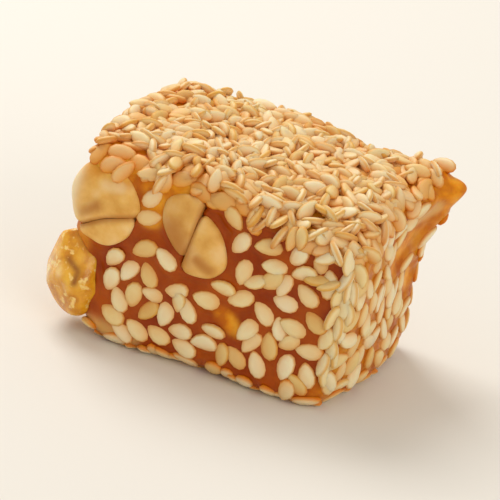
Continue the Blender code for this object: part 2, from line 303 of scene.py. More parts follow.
def candy_colour(material):
    """Red-brown where it is thick, amber where it is thinner and where faces turned up and to the
    right are painted as lit, and cloudy where it was smeared.
    """
    thick_stops = ((0.35, "#943600"), (0.68, "#B05006"))
    body = add_ramp(material, noise(material, 300.0, 3.0), thick_stops)
    thin_stops = ((0.36, "#C46A08"), (0.5, "#E08C10"), (0.66, "#EEA62A"))
    syrup = add_ramp(material, noise(material, 480.0, 3.0), thin_stops)
    amber = mixed(material, attribute(material, "thin_and_lit"), body, syrup)
    return mixed(material, attribute(material, "smeared"), amber, linear("#D8A25C"))


# Sugar syrup cooked to a chewy caramel: IOR about 1.45, glossy, and lit through in red.
cooked_caramel = new_material(
    "cooked_caramel",
    candy_colour,
    roughness=0.3,
    ior=1.45,
    specular=0.2,
    subsurface=0.25,
    radius=(1.0, 0.3, 0.05),
    scale=1.2 * MM,
    grain=(700.0, 3.0, 0.12 * MM),
)
points, faces = candy_grid()
candy = add_piece(
    "candy_block", points, faces.tolist(), cooked_caramel, has_seams=True
)
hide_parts("nougat_block")
skin = vectors_of(candy.data.vertices, "co")
out_of_skin = vectors_of(candy.data.vertex_normals, "vector")
# Faces turned up and to the right are painted amber: partly a thin film, partly painted light.
on_top = thin_and_lit_facing(out_of_skin[:, 2], *THIN_AND_LIT_UP)
at_right = thin_and_lit_facing(out_of_skin[:, 0], *THIN_AND_LIT_RIGHT)
thin_and_lit = np.maximum(np.maximum(on_top, at_right), in_streaks(skin, THIN))
add_attribute(candy, "thin_and_lit", thin_and_lit)
add_attribute(candy, "smeared", in_streaks(skin, SMEARED))


# The peanuts. Dry-roasted kernels that the knife met: each shows a smooth waxy face in a pocket
# of the candy. Two of them split along the seam of their halves, which slid along each other.
# The piece at the corner is glazed with syrup, and the corner kernel is glazed at its top.

PEANUT_GAP = 0.3 * MM
# The space between two halves, and the groove by which the face is rounded down into it: how deep
# it is, its reach in millimetres, and its share of that depth: at the middle of the seam, what it
# gains towards the seam's -Y end, and the least.
SEAM = 0.05 * MM
GROOVE = 0.45 * MM
GROOVE_REACH = 0.36
GROOVE_MIDDLE, GROOVE_GAIN, GROOVE_LEAST = 0.65, 0.5, 0.1
# The bow of a seam: the angle that its cosine turns by along half of the seam, and its reach in
# millimetres. The lean of a half goes on to this many times half the seam.
BOW_TURN = 1.5
BOW_REACH = 2.2
LEANS_TO = 1.2
# Waves that make a kernel lumpy: their share, radians a millimetre along X, Y and Z, and start.
LUMP_WAVES = (
    (1.0, (1.1, 0.7, 0.0), 2.0),
    (0.6, (-0.8, 1.9, 0.0), 0.0),
    (0.4, (2.3, 1.7, 1.3), 0.0),
)
# How much the edge of a split and of a broken flat is worn, as a share of the size, how far from
# the split that reaches, and how the rings shrink that close a half at the split.
WORN = 0.1
WORN_REACH = 0.4 * MM
CAP_RINGS = 6
CAP_SHARE = 0.85
# The power that draws the outer and inner face of a kernel fuller than an egg.
FULLNESS = 0.8
AROUND_KERNEL = 72
ALONG_KERNEL = 48
# Places on the peanuts, as both ends of a streak and its reach: painted highlights along the
# left rims of the corner kernel and the chunk, with pale crumbs on the chunk's face; a painted
# highlight on the corner kernel's face; where the syrup glazed them amber; and where they are
# browned, with painted shade in the fold above the corner kernel's seam and in the chunk's crease.
PALE_AND_HIGHLIGHTS = (
    ((-16.1, -10.9, 18.2), (-16.2, -10.9, 13.0), 1.0),
    ((-18.3, -10.2, 8.4), (-18.0, -10.8, 4.6), 0.8),
    ((-14.2, -11.9, 9.6), (-13.2, -12.0, 8.9), 0.5),
    ((-16.2, -12.2, 7.3), (-15.8, -12.4, 6.6), 0.5),
)
PAINTED_HIGHLIGHT = (((-12.4, -12.0, 17.4), (-10.6, -12.0, 17.7), 0.7),)
GLAZED = (((-14.2, -11.0, 19.0), (-10.4, -11.4, 19.0), 1.6),)
BROWNED_AND_SHADED = (
    ((-14.6, -12.0, 13.6), (-12.9, -12.0, 14.9), 0.7),
    ((-4.4, -12.0, 15.0), (-3.0, -12.0, 12.8), 1.9),
    ((-1.0, -12.0, 12.8), (0.4, -12.0, 12.0), 0.8),
    ((-15.0, -11.6, 8.0), (-13.5, -12.3, 7.4), 0.4),
    ((-13.5, -12.3, 7.4), (-13.5, -12.8, 6.2), 0.4),
)
# How strong these are at the most, and how much painted shade darkens the halves along their seam.
MOST_PALE_AND_HIGHLIGHT, MOST_PAINTED_HIGHLIGHT, MOST_BROWNED_AND_SHADED = 0.85, 0.35, 0.85
SEAM_SHADE = 0.8
SEAM_SHADE_REACH = 0.4 * MM


class Kernel:
    """A piece of peanut: an egg with its own half sizes, pressed flatter on its outer side.

    Its local X and Y lie across the face that shows and its local Z points out of the block.
    A split kernel is parted along local Y, this far from its middle. Each half then slid along
    the split by the slip, and by the lean it narrows towards its own end of the split. A whole
    one narrows towards local +Y. The bow bends the seam towards local X.
    """

    def __init__(self, place, out, turn, half, dome, split=0.0, slip=0.0, lean=0.0, bow=0.0):
        self.place = at(*place)
        self.half = at(*half)
        self.dome = dome * MM
        self.split = split * MM
        self.slip = slip * MM
        self.lean = lean
        self.bow = bow * MM
        z = Vector(out).normalized()
        x = Vector((0, 0, 1)).cross(z).normalized()
        basis = Matrix((x, z.cross(x), z)).transposed()
        self.axes = np.array(basis @ Matrix.Rotation(math.radians(turn), 3, "Z"))

    def leaning(self, y, side):
        """How wide the half on one side of the split is, as a share, at distances along it."""
        return 1 - side * self.lean * np.clip(y / self.half[1], -LEANS_TO, LEANS_TO)

    def local(self, points):
        """Points in the kernel's axes, with the slip and lean of their half undone."""
        local = (points - self.place) @ self.axes
        side = np.where((local[:, 0] > self.split) | (self.split == 0), 1, -1)
        local[:, 1] -= side * self.slip
        local[:, 0] = self.split + (local[:, 0] - self.split) / self.leaning(local[:, 1], side)
        return local

    def measure(self, points, margin=0.0):
        """The egg's own measure of points: under 1 inside, 1 on its skin, more outside."""
        local = self.local(points)
        sizes = np.tile(self.half, (len(local), 1))
        sizes[local[:, 2] > 0, 2] = self.dome
        return np.sqrt(((local / (sizes + margin)) ** 2).sum(axis=1))


# Each kernel: its place, which way it points out, its turn in degrees, half sizes and dome.
CORNER = Kernel(
    (-12.4, -10.8, 15.0), (-0.12, -1, 0.05), -64, (4.5, 4.1, 4.4), 1.2,
    split=2.0, slip=-0.2, bow=-0.5,
)
FRONT = Kernel(
    (-2.1, -10.8, 14.8), (0.0, -1, 0.05), -10, (4.1, 3.4, 4.4), 1.2,
    split=-0.1, slip=-0.7, lean=0.3, bow=0.12,
)
CHUNK = Kernel((-15.2, -9.2, 6.2), (-1, -0.6, 0.0), 8, (3.9, 4.9, 3.2), 3.3, lean=0.25)
BACK = Kernel((2.5, 11.2, 9.8), (0.0, 1, 0.0), 20, (8.4, 4.4, 3.4), 1.5)
KERNELS = (CORNER, FRONT, CHUNK, BACK)


def kernel_grid(kernel, half_side, lumps, dents, flats):
    """Rings about the kernel's local X, from a tip to the other tip or to the split.

    With t from 0 at the tip and u around: x = a cos(t), y = b sin(t) cos(u) and z = c times
    sin(t) and sin(u), both to the power of the fullness, with c the dome outside and the depth
    inside. A split is worn narrower at its edge and ends in shrinking flat rings. Waves swell the
    kernel by up to the lumps, a share of its size, and each dent (its X and Y, depth and reach)
    sinks the outer face by a bell curve. A flat is a plane, as a direction and how far out it is,
    that points past it are brought back to: with p how far past it is, by the mean of p and
    sqrt(p squared + worn squared), which rounds its edge.
    """
    side = half_side or 1
    a, b, deep = kernel.half
    wall = kernel.split + half_side * SEAM / 2
    last = math.acos(side * wall / a) if half_side else math.pi
    t = np.linspace(0, last, ALONG_KERNEL)
    shrink = np.ones(len(t))
    if half_side:
        shrink -= WORN * np.exp(-(((side * a * np.cos(t) - wall) / WORN_REACH) ** 2))
        t = np.concatenate((t, np.full(CAP_RINGS, last)))
        shrink = np.concatenate((shrink, np.linspace(CAP_SHARE, 0, CAP_RINGS)))
    u = np.linspace(0, math.tau, AROUND_KERNEL, endpoint=False)
    x = side * a * np.cos(t)[:, None] + 0 * u
    ring = np.sin(t) * shrink
    fuller = np.sin(u) / np.maximum(np.abs(np.sin(u)), 1e-9) * np.abs(np.sin(u)) ** FULLNESS
    y = b * ring[:, None] * np.cos(u)
    z = ring[:, None] ** FULLNESS * np.where(fuller > 0, kernel.dome, deep) * fuller
    wave = np.zeros(x.shape)
    for share, (by_x, by_y, by_z), start in LUMP_WAVES:
        wave += share * np.sin(by_x * x / MM + by_y * y / MM + by_z * z / MM + start)
    x, y, z = (axis * (1 + lumps * wave) for axis in (x, y, z))
    for dent_x, dent_y, depth, reach in dents:
        away = np.hypot(x - dent_x * MM, y - dent_y * MM) / (reach * MM)
        z = z - (z > 0) * depth * MM * np.exp(-(away**2)) * np.clip(z / kernel.dome, 0, 1)
    for direction, share in flats:
        out = np.array(direction) / np.linalg.norm(direction)
        past = x / a * out[0] + y / b * out[1] + z / kernel.dome * out[2] - share
        past = (past + np.sqrt(past**2 + WORN**2)) / 2
        x, y, z = x - a * out[0] * past, y - b * out[1] * past, z - kernel.dome * out[2] * past
    x = kernel.split + (x - kernel.split) * kernel.leaning(y, side)
    y = y + side * kernel.slip
    if half_side:
        x, z = along_seam(x, y, z, kernel)
    local = np.stack((x, y, z), axis=-1)
    return local, kernel.place + local.reshape(-1, 3) @ kernel.axes.T


def along_seam(x, y, z, kernel):
    """Both halves bent alike by the bow of the seam, and rounded down into it.

    The bow is bow * cos(turn * y / b), and fades from the seam by a bell curve. The groove lowers
    the face by its depth times another bell curve, and is deepest at the seam's -Y end.
    """
    from_split = (x - kernel.split) / MM
    bow = kernel.bow * np.cos(BOW_TURN * y / kernel.half[1])
    x = x + bow * np.exp(-((from_split / BOW_REACH) ** 2))
    open_end = np.clip(GROOVE_MIDDLE - GROOVE_GAIN * y / kernel.half[1], GROOVE_LEAST, 1)
    bell = np.exp(-((from_split / GROOVE_REACH) ** 2))
    return x, z - GROOVE * open_end * bell * np.clip(z / kernel.dome, 0, 1)


def by_seam(points, kernel):
    """How near points are to the bowed seam: exp(-(distance / reach) squared)."""
    local = kernel.local(points)
    seam = kernel.split + kernel.bow * np.cos(BOW_TURN * local[:, 1] / kernel.half[1])
    return np.exp(-(((local[:, 0] - seam) / SEAM_SHADE_REACH) ** 2))


def peanut_colour(material):
    """Golden tan with a mottle, browner in places, darker with painted shade by the seams and in a
    fold, paler with crumb patches and painted highlights, and amber under the syrup.
    """
    tan_stops = ((0.3, "#DA9E46"), (0.5, "#EBB862"), (0.75, "#F4CE8C"))
    tan = add_ramp(material, noise(material, 420.0, 5.0), tan_stops)
    brown = mixed(material, attribute(material, "darkening"), tan, linear("#B4702A"))
    glaze = add_ramp(material, noise(material, 700.0, 2.0), ((0.35, "#D88A14"), (0.7, "#F0B850")))
    amber = mixed(material, attribute(material, "glaze"), brown, glaze)
    return mixed(material, attribute(material, "pale_and_highlight"), amber, linear("#F6E4BE"))


def glazed_colour(material):
    """The syrup over the peanut: amber yellow with deeper pools and crumb flecks in it, darker with
    painted shade in its crease, and paler with painted highlights along its left rim.
    """
    glaze_stops = ((0.34, "#C4780A"), (0.5, "#E09E20"), (0.7, "#EEB83E"))
    glaze = add_ramp(material, noise(material, 520.0, 4.0), glaze_stops)
    brown = mixed(material, attribute(material, "darkening"), glaze, linear("#8A4A10"))
    crumb_stops = ((0.58, "#000000"), (0.66, "#FFFFFF"))
    pale_marks = add_ramp(material, noise(material, 1100.0, 2.0), crumb_stops)
    crumbed = mixed(material, pale_marks, brown, linear("#F2CE78"))
    return mixed(material, attribute(material, "pale_and_highlight"), crumbed, linear("#F8E6BE"))


# Dry-roasted peanut: a waxy cut face with a sheen of its own oil, IOR about 1.47.
roasted_peanut = new_material(
    "dry_roasted_peanut",
    peanut_colour,
    roughness=0.55,
    ior=1.47,
    specular=0.3,
    subsurface=0.2,
    radius=(1.0, 0.5, 0.2),
    scale=1.2 * MM,
    grain=(900.0, 6.0, 0.09 * MM),
)
# Peanut under a coat of sugar syrup: wet and glossy, IOR about 1.49.
glazed_peanut = new_material(
    "syrup_glazed_peanut",
    glazed_colour,
    roughness=0.2,
    ior=1.49,
    specular=0.5,
    subsurface=0.3,
    radius=(1.0, 0.5, 0.12),
    scale=1.2 * MM,
    grain=(650.0, 4.0, 0.22 * MM),
)
# Dents and pits, in millimetres on the kernel: X, Y, depth and reach. Then the chunk's broken
# flats: which way each faces, and how far out it is as a share of the chunk's size.
CORNER_DENTS = ((-2.6, 1.2, 0.25, 1.4), (-0.6, -1.6, 0.2, 1.3))
FRONT_LEFT_DENTS = ((-0.9, -1.2, 0.35, 1.4),)
FRONT_RIGHT_DENTS = ((1.0, 0.6, 0.15, 1.2),)
BACK_DENTS = (
    (-3.6, 0.2, 0.35, 1.9),
    (-0.6, 0.0, 0.5, 2.0),
    (2.6, -0.2, 0.4, 1.9),
    (6.9, 0.2, 0.5, 0.8),
)
CHUNK_PITS = (
    (0.6, 0.6, 0.9, 0.7),
    (-1.6, -2.2, 0.7, 1.0),
    (1.5, 2.2, 0.5, 0.9),
    (2.6, -1.2, 0.7, 0.8),
)
CHUNK_FLATS = (
    ((0.2, 0.3, 1.0), 0.74),
    ((-0.9, 0.5, 0.6), 0.78),
    ((0.8, 0.6, 0.6), 0.76),
    ((-0.7, -0.6, 0.7), 0.80),
    ((0.6, -0.7, 0.8), 0.78),
    ((-0.2, 1.0, 0.2), 0.88),
    ((-1.0, -0.1, 0.1), 0.86),
)
# Each piece: its node, kernel, side of the split, lumps, how much it is roasted, its slot, dents
# and flats.
PEANUTS = (
    ("corner_peanut_upper_half", CORNER, -1, 0.012, 0.0, "roasted_peanut", CORNER_DENTS, ()),
    ("corner_peanut_lower_half", CORNER, 1, 0.01, 0.0, "roasted_peanut", (), ()),
    ("front_peanut_left_half", FRONT, -1, 0.012, 0.25, "roasted_peanut", FRONT_LEFT_DENTS, ()),
    ("front_peanut_right_half", FRONT, 1, 0.01, 0.1, "roasted_peanut", FRONT_RIGHT_DENTS, ()),
    ("side_peanut_chunk", CHUNK, 0, 0.045, 0.0, "glazed_peanut", CHUNK_PITS, CHUNK_FLATS),
    ("back_peanut_half", BACK, 0, 0.015, 0.2, "roasted_peanut", BACK_DENTS, ()),
)
for name, kernel, half_side, lumps, darkening, slot, dents, flats in PEANUTS:
    local, points = kernel_grid(kernel, half_side, lumps, dents, flats)
    faces = grid_faces(local.shape[0], local.shape[1], closed=True)
    look = glazed_peanut if kernel is CHUNK else roasted_peanut
    piece = add_piece("roasted_" + name, points, faces.tolist(), look, has_seams=True)
    points = vectors_of(piece.data.vertices, "co")
    # Pale crumbs, and painted highlights on the left rims and on the corner kernel's face.
    pale_marks = MOST_PALE_AND_HIGHLIGHT * in_streaks(points, PALE_AND_HIGHLIGHTS, power=2)
    add_attribute(piece, "pale_and_highlight", np.maximum(pale_marks, MOST_PAINTED_HIGHLIGHT * in_streaks(points, PAINTED_HIGHLIGHT)))
    add_attribute(piece, "glaze", in_streaks(points, GLAZED, power=2))
    # Browned places, painted shade in a fold and a crease, and painted shade along the seam of each
    # split kernel.
    browned_and_shaded = np.maximum(darkening, MOST_BROWNED_AND_SHADED * in_streaks(points, BROWNED_AND_SHADED, power=2))
    seam_shade = SEAM_SHADE * (half_side != 0) * by_seam(points, kernel)
    add_attribute(piece, "darkening", np.maximum(browned_and_shaded, seam_shade))
    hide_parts(name)

# The candy gives way to each kernel: what lies within this share of it sinks to a floor just
# below it. Round its edge the candy climbs, by a bell curve of this reach.
WETTING = 0.26 * MM
UNDER_KERNEL = 0.87
FLOOR_GAP = 0.1 * MM
KERNEL_WETTING_REACH = 0.5 * MM
rise = np.zeros(len(skin))
for kernel in KERNELS:
    local = kernel.local(skin)
    inside = kernel.measure(skin) < UNDER_KERNEL
    across = np.sqrt((local[:, 0] / kernel.half[0]) ** 2 + (local[:, 1] / kernel.half[1]) ** 2)
    floor_depth = -(kernel.half[2] + FLOOR_GAP) * np.sqrt(np.clip(1 - across**2, 0, 1))
    skin[inside] += ((floor_depth - local[:, 2])[:, None] * kernel.axes[:, 2])[inside]
    past = (kernel.measure(skin) - 1) * kernel.half[:2].mean()
    rise = np.maximum(rise, ~inside * np.exp(-((past / KERNEL_WETTING_REACH) ** 2)))


# The sesame coat. Hulled seeds, about 3 by 1.85 by 0.8 mm, are pressed into the warm candy:
# flat and apart on the cut sides, thick and shaggy on the rolled top. They are ivory, a few are
# toasted, and syrup has soaked into them where they touch the candy; there they are also painted
# golden with shade, most deeply between the seeds on top.

SEED = np.array((3.0, 1.85, 0.8)) * MM
# The first seed of the coat lies under the origin, at this place across the underside.
UNDER_ORIGIN = (-0.142, -0.028)
# The start of the draw, how many seeds the coat has, how many of these the solid is made with,
# how much they vary in size from the largest to the smallest, and how deep they are sunk in.
COAT_DRAW = 7
SEEDS_IN_COAT = 860
SEEDS_MODELLED = 305
SIZE_SPREAD = 0.1
SUNK = 0.3 * MM
# The largest seeds, which the solid has too, keep clear of the peanuts. The smaller ones come
# close to them, look at more places, and leave this gap where they fill in a cut side.
CLOSE_BY = 0.55 * MM
TRIES = 60
MORE_TRIES = 120
LEAST_GAP = 0.56 * MM
# A drawn tilt is cut off at so many deviations. No seed yet is this many metres away.
MOST_TILTED = 2
FAR_AWAY = 1.0
# Where a seed is judged, as shares of its length and width: its middle, its tips and its sides.
JUDGED_AT = np.array(((0.0, 0.0), (0.36, 0.0), (-0.36, 0.0), (0.0, 0.3), (0.0, -0.3)))
SPOTS = len(JUDGED_AT)
# By which way a place faces: how far apart seeds lie, how much they roll and pitch in degrees,
# how much more the smaller ones do, and how high the syrup soaks into them and painted golden
# shade climbs them.
SPACING = {"up": 1.0, "down": 1.1, "sideways": 1.42}
ROLL = {"up": 26, "down": 4, "sideways": 9}
PITCH = {"up": 12, "down": 3, "sideways": 5}
SHAGGY_ROLL = {"up": 52, "down": 4, "sideways": 14}
SHAGGY_PITCH = {"up": 16, "down": 3, "sideways": 6}
SOAKED_AND_SHADED_TO = {"up": 1.5 * MM, "down": 0.5 * MM, "sideways": 0.5 * MM}
# Up to this height over the candy a seed is fully soaked and painted with golden shade.
SOAKED_AND_SHADED_FROM = 0.1 * MM
# A place faces up or down where its normal's Z is over the first or under the second of these.
# The step to its neighbours, from which that normal is worked out, is a share of a half side.
LEAST_UP, MOST_DOWN = 0.35, -0.7
STEP_ACROSS = 0.01
# Streaks that are bare of seeds, as both ends of each and its reach, in millimetres.
BARE = (
    ((18.2, 10.6, 19.8), (17.0, 8.0, 18.4), 2.4),
    ((16.6, 7.0, 17.9), (15.3, 3.6, 16.2), 1.9),
    ((15.4, 4.9, 15.2), (15.1, 2.4, 12.6), 1.9),
    ((15.2, 7.2, 10.1), (15.2, 7.8, 8.9), 1.6),
    ((3.0, -11.5, 7.3), (3.4, -11.5, 7.0), 1.5),
    ((3.2, -11.5, 14.8), (3.0, -11.5, 14.0), 1.3),
    ((9.0, -11.5, 14.8), (11.0, -11.5, 14.2), 1.2),
    ((13.5, -11.5, 11.6), (13.4, -11.5, 10.8), 1.3),
    ((-4.0, -11.5, 9.3), (-4.0, -11.5, 9.3), 1.1),
)


def side_frame(side, across):
    """Point, a direction along the side, and outward normal, for each place across it."""
    here = nougat_surface(on_side(side, across))
    along = nougat_surface(on_side(side, across + (STEP_ACROSS, 0))) - here
    beside = nougat_surface(on_side(side, across + (0, STEP_ACROSS))) - here
    normal = np.cross(along, beside) * SIDES[side][1]
    along /= np.linalg.norm(along, axis=1, keepdims=True)
    normal /= np.linalg.norm(normal, axis=1, keepdims=True)
    return here, along, normal


def clear_of_inclusions(points, margin):
    """Which points of seeds lie clear of every bare place, and by a margin of every peanut."""
    free = np.ones(len(points), bool)
    for kernel in KERNELS:
        free &= kernel.measure(points, margin) >= 1
    for start, end, reach in BARE:
        free &= from_streak(points, start, end) > reach * MM
    return free


def by_facing(table, normal):
    """The value of a table for each place, by the way that its normal points."""
    up, down = normal[:, 2] > LEAST_UP, normal[:, 2] < MOST_DOWN
    return np.select([up, down], [table["up"], table["down"]], table["sideways"])


def turned_about(axis, vector, angle):
    """A vector turned about a unit axis by an angle in radians."""
    return (
        vector * math.cos(angle)
        + np.cross(axis, vector) * math.sin(angle)
        + axis * (axis @ vector) * (1 - math.cos(angle))
    )


def tilted_seed(here, long, normal, size, most_roll, most_pitch, draw, lift=0.0):
    """A seed on the surface: its middle, axes and sizes, after a drawn roll and pitch.

    With them come the point of the candy below it and the candy's normal there.
    """
    roll, pitch = np.clip(draw.normal(0, 1, 2), -MOST_TILTED, MOST_TILTED)
    wide = turned_about(long, np.cross(normal, long), math.radians(most_roll * roll))
    thick = np.cross(long, wide)
    tip = math.radians(most_pitch * pitch)
    long, thick = turned_about(wide, long, tip), turned_about(wide, thick, tip)
    axes = np.stack((long, wide, thick))
    support = np.linalg.norm(axes @ normal * size / 2)
    return here + normal * (support - SUNK + lift), axes, size, here, normal


def seed_coat(count):
    """The seeds of the coat, each in the emptiest of many tried places.

    A seed is judged by its middle and by points towards its tips and sides: the score of a place
    is the distance from these to the nearest seed so far, over the spacing of that side. A
    smaller seed that would still lie on others at a cut side is left out.
    """
    draw = np.random.default_rng(COAT_DRAW)
    taken = np.full((count * SPOTS, 3), FAR_AWAY)
    coat = []
    for i in range(count):
        size = SEED * (1 + SIZE_SPREAD * (1 - 2 * i / SEEDS_IN_COAT))
        margin = PEANUT_GAP + SEED[1] / 2 if i < SEEDS_MODELLED else CLOSE_BY
        best = (-1.0, None)
        for side in range(len(SIDES)):
            tries = TRIES if i < SEEDS_MODELLED else MORE_TRIES
            across = draw.uniform(-1, 1, (tries // len(SIDES), 2))
            angles = draw.uniform(0, math.pi, len(across))
            if i == 0:
                across[:] = UNDER_ORIGIN
            here, along, normal = side_frame(side, across)
            beside = np.cross(normal, along)
            long = along * np.cos(angles)[:, None] + beside * np.sin(angles)[:, None]
            reach = np.stack((long * size[0], np.cross(normal, long) * size[1]), axis=1)
            spots = here[:, None] + JUDGED_AT @ reach
            free = clear_of_inclusions(spots.reshape(-1, 3), margin).reshape(-1, SPOTS).all(axis=1)
            gaps = np.linalg.norm(spots.reshape(-1, 1, 3) - taken[: max(SPOTS * i, 1)], axis=2)
            score = gaps.min(axis=1).reshape(-1, SPOTS).min(axis=1) / by_facing(SPACING, normal)
            score[~free] = -1
            pick = int(score.argmax())
            if score[pick] > best[0] and (i > 0 or side == BOTTOM):
                best = (score[pick], (here[pick], long[pick], normal[pick], spots[pick]))
        gap, (here, long, normal, spots) = best
        taken[SPOTS * i : SPOTS * (i + 1)] = spots
        tables = (ROLL, PITCH) if i < SEEDS_MODELLED else (SHAGGY_ROLL, SHAGGY_PITCH)
        tilt = (float(by_facing(table, normal[None])[0]) for table in tables)
        seed = tilted_seed(here, long, normal, size, *tilt, draw)
        on_top = normal[2] > LEAST_UP
        if i < SEEDS_MODELLED or on_top or gap * SPACING["sideways"] > LEAST_GAP:
            coat.append(seed)
    return coat


LOOSE_DRAW = 11
LOOSE_SEEDS = 460
# Loose seeds are slimmer and up to a seventh smaller. They are lifted off the candy, roll and
# pitch by these degrees, and are tried at more places on top than at the front.
LOOSE_FORM = np.array((1.0, 0.85, 0.95))
LOOSE_SIZES = (0.85, 1.0)
LOOSE_LIFT = (0.1 * MM, 0.7 * MM)
LOOSE_TILT = (60, 18)
TRIES_ON_TOP, TRIES_IN_FRONT = 12, 4
LEAST_UP_LOOSE = 0.25
TOP_OF_COAT = 22.9 * MM


def loose_seeds(count):
    """More seeds that lie on the first ones on top and hang over the front edge.

    Each takes the emptiest of its tried places; those that would stand too high are left out.
    """
    draw = np.random.default_rng(LOOSE_DRAW)
    taken = np.full((count, 3), FAR_AWAY)
    layer = []
    for i in range(count):
        across = draw.uniform(-1, 1, (TRIES_ON_TOP + TRIES_IN_FRONT, 2))
        angle = draw.uniform(0, math.pi)
        on_top = side_frame(TOP, across[:TRIES_ON_TOP])
        in_front = side_frame(FRONT_SIDE, across[TRIES_ON_TOP:])
        here, along, normal = (np.concatenate(pair) for pair in zip(on_top, in_front))
        gaps = np.linalg.norm(here[:, None] - taken[: max(i, 1)], axis=2).min(axis=1)
        gaps[(normal[:, 2] < LEAST_UP_LOOSE) | ~clear_of_inclusions(here, SEED[1] / 2)] = -1
        pick = int(gaps.argmax())
        taken[i] = here[pick]
        long = turned_about(normal[pick], along[pick], angle)
        size = SEED * LOOSE_FORM * draw.uniform(*LOOSE_SIZES)
        lift = draw.uniform(*LOOSE_LIFT)
        seed = tilted_seed(here[pick], long, normal[pick], size, *LOOSE_TILT, draw, lift)
        if seed[0][2] + np.linalg.norm(seed[1][:, 2] * size / 2) < TOP_OF_COAT:
            layer.append(seed)
    return layer


# Seeds in places of their own: over the edge above the two front kernels, between them, and by
# the lip. Each has its place, which way its length runs, and its roll in degrees.
PLACED = (
    ((-14.0, -10.4, 20.0), (1.8, 0.6, 3.0), 12),
    ((-11.8, -10.0, 20.6), (3.0, 0.8, 0.6), 35),
    ((-9.4, -10.2, 20.2), (3.6, 0.0, -0.5), 20),
    ((-12.1, -10.9, 19.6), (2.2, 0.3, 1.0), 30),
    ((-10.7, -11.0, 19.2), (0.6, 0.0, 1.0), 40),
    ((-7.0, -11.2, 17.6), (2.1, 0.0, 3.0), 4),
    ((-7.0, -11.3, 15.2), (2.6, 0.0, 0.9), 0),
    ((-4.6, -10.3, 20.2), (2.0, 0.6, 0.4), 10),
    ((-2.6, -10.3, 20.3), (0.2, 0.0, 1.0), -20),
    ((-2.2, -10.9, 19.6), (2.0, 0.0, -0.9), 25),
    ((-0.3, -10.9, 19.4), (1.0, 0.0, 0.4), 5),
    ((1.8, -11.2, 18.0), (2.2, 0.0, -2.4), 10),
    ((15.6, 6.4, 20.2), (4.5, -2.1, 0.0), 8),
    ((15.4, 1.6, 17.0), (0.0, 4.2, 0.8), 20),
    ((16.4, 5.0, 18.4), (0.0, 3.0, 1.4), 15),
    ((15.6, 3.6, 17.4), (0.0, 3.0, 0.4), -10),
    ((15.4, 2.2, 15.9), (0.0, 2.4, 2.4), 12),
    ((15.2, 0.6, 14.6), (0.0, 1.0, 3.0), 5),
)
# The knife pushed these up on edge along the front right corner, from its top to its foot, now
# to one side of it and now to the other, and turned each towards its side.
RIDGE = ((14.9, -9.4, 15.6), (14.8, -10.6, 10.5), (14.2, -9.7, 3.4))
RIDGE_SEEDS = 16
RIDGE_ROLLS = (40, 66, -52, 78, -34)
RIDGE_STAGGER = ((0.5, 0.5, 0.0), (-0.5, -0.5, 0.1), (0.1, 0.0, -0.2))
RIDGE_TURN = 0.6
# Smaller and loose seeds that lie nearer to these than this make room for them.
ELBOW_ROOM = 1.4 * MM


def not_crowded(seeds, placed):
    """The seeds that lie far enough from every placed one."""
    middles = np.array([seed[0] for seed in placed])
    return [seed for seed in seeds if np.linalg.norm(middles - seed[0], axis=1).min() > ELBOW_ROOM]


def placed_seeds():
    """The seeds in places of their own, each set on the point of the candy nearest to its place.

    The ridge is a quadratic curve through its three points, with seeds at even steps.
    """
    top, waist, foot = at(*RIDGE)
    t = np.linspace(0, 1, RIDGE_SEEDS)[:, None]
    ridge = top * (1 - t) * (1 - 2 * t) + waist * 4 * t * (1 - t) + foot * t * (2 * t - 1)
    places = [(at(*place), np.array(run), angle) for place, run, angle in PLACED]
    for i, place in enumerate(ridge):
        run = ridge[min(i + 1, RIDGE_SEEDS - 1)] - ridge[max(i - 1, 0)]
        aside = at(*RIDGE_STAGGER[i % len(RIDGE_STAGGER)])
        roll = RIDGE_ROLLS[i % len(RIDGE_ROLLS)]
        places.append((place + aside, run + RIDGE_TURN * aside, roll))
    seeds = []
    for place, run, angle in places:
        nearest = int(((skin - place) ** 2).sum(axis=1).argmin())
        here, normal = skin[nearest], out_of_skin[nearest]
        long = run - normal * (run @ normal)
        long /= np.linalg.norm(long)
        wide = turned_about(long, np.cross(normal, long), math.radians(angle))
        axes = np.stack((long, wide, np.cross(long, wide)))
        support = np.linalg.norm(axes @ normal * SEED / 2)
        seeds.append((here + normal * (support - SUNK), axes, SEED, here, normal))
    return seeds


OUTLINE_POINTS = 12
# Rings of a seed from its upper face to its lower one: share of the outline, share of the
# thickness. A hulled seed has a flat face inside a soft rim.
SEED_RINGS = ((0.45, 0.48), (0.84, 0.35), (1.0, 0.09), (1.0, -0.09), (0.84, -0.35), (0.45, -0.48))
# The power that draws one end out to a tip, and where the thin rim starts and over what share of
# the outline it grows.
TIP_POWER = 0.35
RIM_START, RIM_SPAN = 0.84, 0.16
# Seeds are bent over their thickness and width by a drawn share of these, and how toasted they
# are is drawn from a beta distribution with this pair of numbers.
BENT_UP, BENT_ASIDE = 0.35, 0.25
TOASTED = (1.3, 3.4)
SHAPE_DRAW = 3


def seed_form():
    """Points and faces of one seed: rings of a drop-shaped outline, closed at both faces.

    The outline is x = cos(t) / 2 and y = w sin(t) times sin(t / 2) to the power of the tip, which
    draws the end at t = 0 out to a tip, with w set so that the greatest width is 1.
    """
    turn = np.linspace(0, math.tau, OUTLINE_POINTS, endpoint=False)
    share, level = np.array(SEED_RINGS).T
    width = np.sin(turn) * np.abs(np.sin(turn / 2)) ** TIP_POWER
    width /= 2 * np.abs(width).max()
    rings = np.stack(
        (
            share[:, None] * np.cos(turn) / 2,
            share[:, None] * width,
            np.repeat(level[:, None], len(turn), axis=1),
        ),
        axis=2,
    )
    faces = grid_faces(len(share), len(turn), closed=True).tolist()
    faces.append(list(range(len(turn))))
    faces.append(list(range(len(turn) * len(share) - 1, len(turn) * (len(share) - 1) - 1, -1)))
    return rings.reshape(-1, 3), faces, share.repeat(len(turn))


